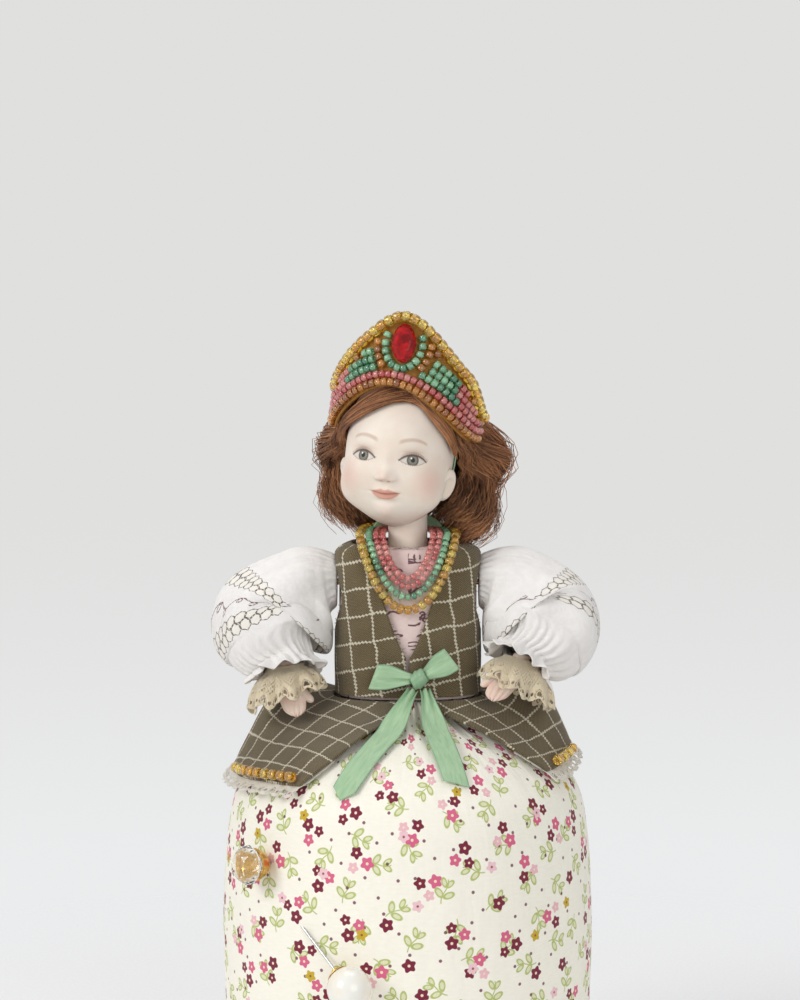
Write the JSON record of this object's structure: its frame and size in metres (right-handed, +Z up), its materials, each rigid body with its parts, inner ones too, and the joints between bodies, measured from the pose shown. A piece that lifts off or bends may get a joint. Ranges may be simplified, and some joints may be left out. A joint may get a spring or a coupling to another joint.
{
  "type": "pincushion doll",
  "caption": "Bisque-headed doll in a beaded headdress and checked vest, rising from a round stuffed floral skirt that serves as a pincushion and holds ornamental pins.",
  "frame": {"origin": "middle of the flat felt base, on the table", "axes": "+Z up along the spine, the doll faces -Y, +X to the doll's left"},
  "size_m": [0.1084, 0.1153, 0.2355],
  "materials": {
    "felt": "matte wool felt",
    "card": "plain grey-brown board",
    "fibre": "loose fibre filling",
    "printed_cotton": "plain-weave cotton with a small floral print",
    "beech": "plain turned dowel",
    "calico": "plain stuffed calico",
    "white_cotton": "fine white cotton, embroidered",
    "checked_twill": "olive-brown wool twill with a cream windowpane check",
    "white_lace": "white cotton lace",
    "cream_lace": "cream cotton lace",
    "mint_satin": "satin ribbon",
    "amber_glass": "translucent amber glass beads",
    "brown_glass": "translucent brown glass beads",
    "mint_glass": "white-lined mint glass beads",
    "coral_glass": "white-lined coral glass beads",
    "thread": "beading thread",
    "bisque": "matte tinted bisque, painted",
    "mohair": "auburn mohair",
    "stiffened_cloth": "stiffened cloth",
    "red_glass": "faceted red glass",
    "copper_wire": "soft drawn wire",
    "pin_steel": "polished pin steel",
    "pearl": "pearl lustre",
    "gilt": "gilt metal",
    "clear_glass": "clear cut glass"
  },
  "bodies": {
    "doll_body": {"base_felt": "felt", "base_card": "card", "stuffing": "fibre", "skirt_cover": "printed_cotton", "spine_dowel": "beech", "torso": "calico", "blouse": "white_cotton", "collar_tab": "white_cotton", "vest_left": "checked_twill", "vest_right": "checked_twill", "vest_back": "checked_twill", "peplum_left": "checked_twill", "peplum_right": "checked_twill", "peplum_lace_left": "white_lace", "peplum_lace_right": "white_lace", "hem_beads": "amber_glass", "bow_knot": "mint_satin", "bow_loop_left": "mint_satin", "bow_loop_right": "mint_satin", "bow_tail_left": "mint_satin", "bow_tail_right": "mint_satin", "coral_necklace": "coral_glass", "mint_necklace": "mint_glass", "amber_necklace": "amber_glass", "necklace_threads": "thread"},
    "head_and_headdress": {"head": "bisque", "wig_fringe": "mohair", "wig_left": "mohair", "wig_right": "mohair", "wig_back": "mohair", "headdress_backing": "stiffened_cloth", "rim_beads": "amber_glass", "mint_beads": "mint_glass", "coral_beads": "coral_glass", "brown_beads": "brown_glass", "red_stone": "red_glass", "tie_left": "mint_satin", "tie_right": "mint_satin", "nape_bow": "mint_satin"},
    "left_arm": {"shoulder_wire_left": "copper_wire", "upper_arm_left": "calico", "sleeve_left": "white_cotton", "lace_cuff_left": "cream_lace", "hand_left": "bisque"},
    "right_arm": {"shoulder_wire_right": "copper_wire", "upper_arm_right": "calico", "sleeve_right": "white_cotton", "lace_cuff_right": "cream_lace", "hand_right": "bisque"},
    "pearl_pin": {"pearl_pin_shaft": "pin_steel", "pearl": "pearl"},
    "crystal_pin": {"crystal_pin_shaft": "pin_steel", "crystal_cup": "gilt", "crystal": "clear_glass"}
  },
  "joints": [
    {"name": "head_turn", "type": "hinge", "parent": "doll_body", "child": "head_and_headdress", "pos_m": [0, 0.001, 0.17], "axis": [0, 0, 1], "range_deg": [-20, 40]},
    {"name": "left_arm_swing", "type": "hinge", "parent": "doll_body", "child": "left_arm", "pos_m": [0.02, 0, 0.159], "axis": [-1, 0, 0], "range_deg": [0, 40]},
    {"name": "right_arm_swing", "type": "hinge", "parent": "doll_body", "child": "right_arm", "pos_m": [-0.02, 0, 0.159], "axis": [-1, 0, 0], "range_deg": [0, 40]},
    {"name": "pearl_pin_pull", "type": "slide", "parent": "doll_body", "child": "pearl_pin", "axis": [0.5456, -0.6157, -0.5686], "range_m": [0, 0.024]},
    {"name": "crystal_pin_pull", "type": "slide", "parent": "doll_body", "child": "crystal_pin", "axis": [-0.8325, -0.5517, 0.0502], "range_m": [0, 0.038]}
  ]
}
